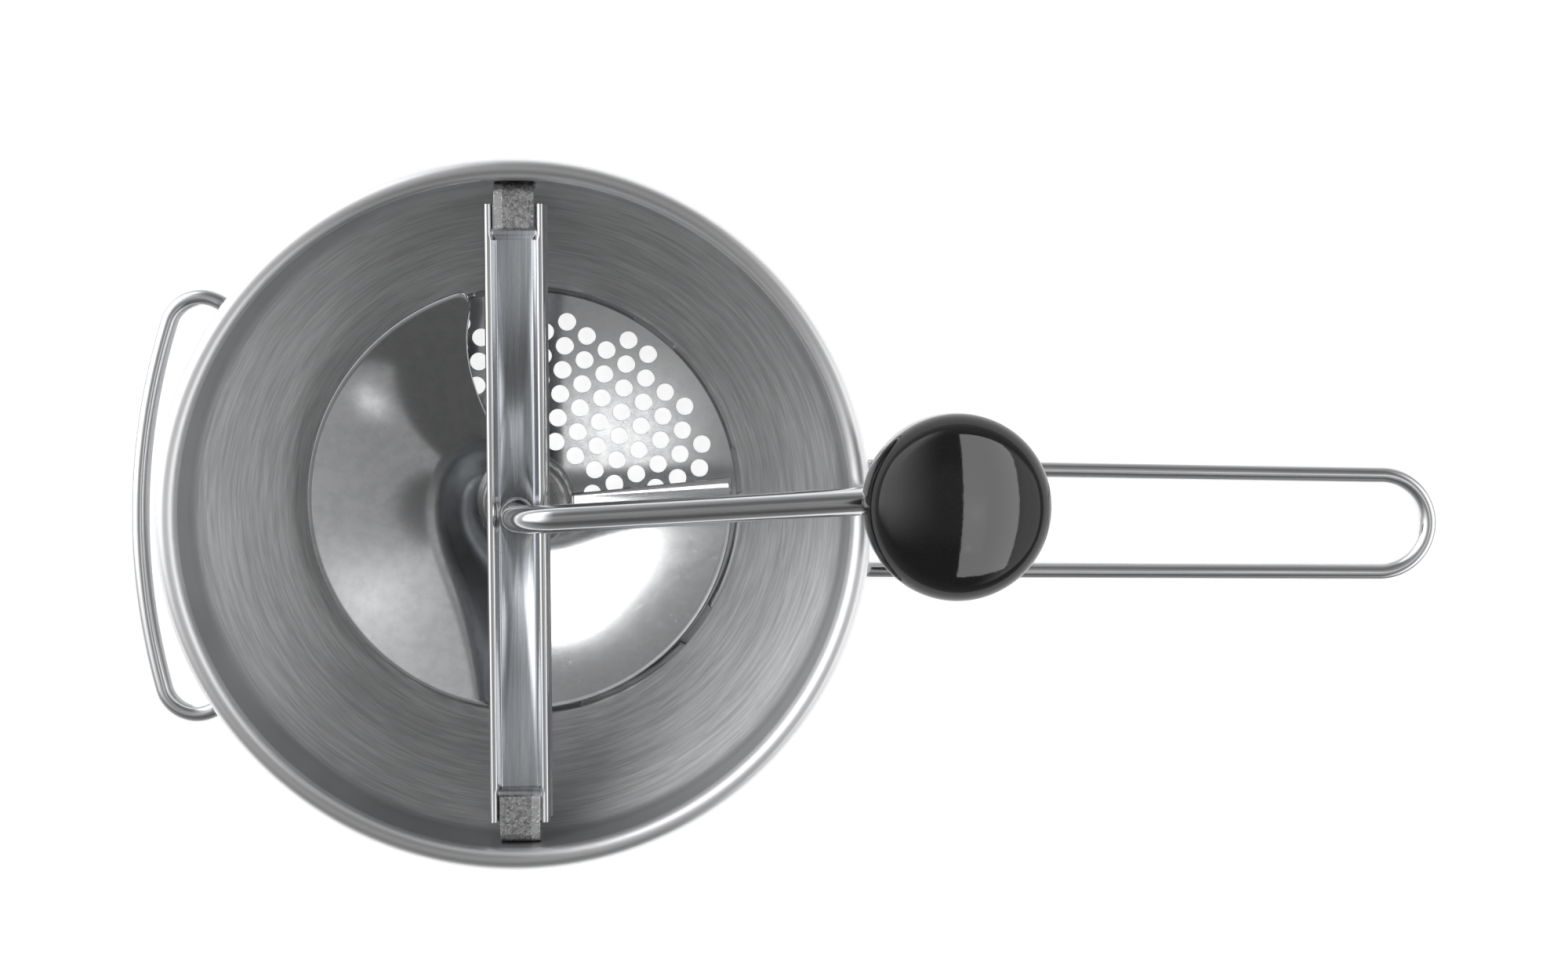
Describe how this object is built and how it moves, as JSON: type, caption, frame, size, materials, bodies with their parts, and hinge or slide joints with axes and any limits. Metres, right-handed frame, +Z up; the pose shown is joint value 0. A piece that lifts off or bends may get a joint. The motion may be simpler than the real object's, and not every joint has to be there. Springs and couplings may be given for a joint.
{
  "type": "rotary food mill",
  "caption": "Hand-cranked steel food mill: conical bowl with a sieve disc, a bent-sheet blade on a cranked rod, a sprung crossbar, a wire handle and a rest bail.",
  "frame": {"origin": "on the bowl's axis, in the plane that the foot stands on", "axes": "+X along the wire handle, +Z up along the bowl's and crank's axis, the crossbar lies along Y"},
  "size_m": [0.3842, 0.206, 0.1421],
  "materials": {
    "bowl_steel": "satin, brushed round the axis inside, smoother band under the rim",
    "blasted_steel": "dull, blasted",
    "bright_steel": "turned, bright",
    "wire_steel": "polished wire",
    "disc_steel": "satin sheet",
    "crossbar_steel": "brushed along the bar, bright rails",
    "spring_steel": "drawn wire",
    "rod_steel": "polished rod",
    "blade_steel": "polished sheet",
    "core_plastic": "matte black moulding",
    "knob_plastic": "glossy black moulding"
  },
  "bodies": {
    "bowl": {"bowl": "bowl_steel", "lug_rear": "blasted_steel", "lug_front": "blasted_steel", "lug_rivets": "bright_steel", "handle": "wire_steel", "rest_bail": "wire_steel", "sieve_disc": "disc_steel"},
    "crossbar": {"crossbar": "crossbar_steel", "spring_cup_upper": "bright_steel"},
    "rotor": {"crank": "rod_steel", "thrust_washer": "bright_steel", "blade_hub": "blade_steel", "drive_pin": "bright_steel", "blade": "blade_steel", "spring_cup_lower": "bright_steel", "spring": "spring_steel", "knob_washer": "bright_steel", "post_clip": "spring_steel"},
    "knob": {"knob": "knob_plastic", "knob_core": "core_plastic"}
  },
  "joints": [
    {"name": "crossbar_press", "type": "slide", "parent": "bowl", "child": "crossbar", "axis": [0, 0, -1], "range_m": [0, 0.004], "stiffness_N_per_m": 2500, "springref_m": -0.012, "deforming": ["spring"]},
    {"name": "crank_turn", "type": "hinge", "parent": "bowl", "child": "rotor", "pos_m": [0, 0, 0], "axis": [0, 0, -1], "continuous": true},
    {"name": "knob_spin", "type": "hinge", "parent": "rotor", "child": "knob", "pos_m": [0.12152, 0.00818, 0.12], "axis": [0, 0, 1], "continuous": true}
  ]
}
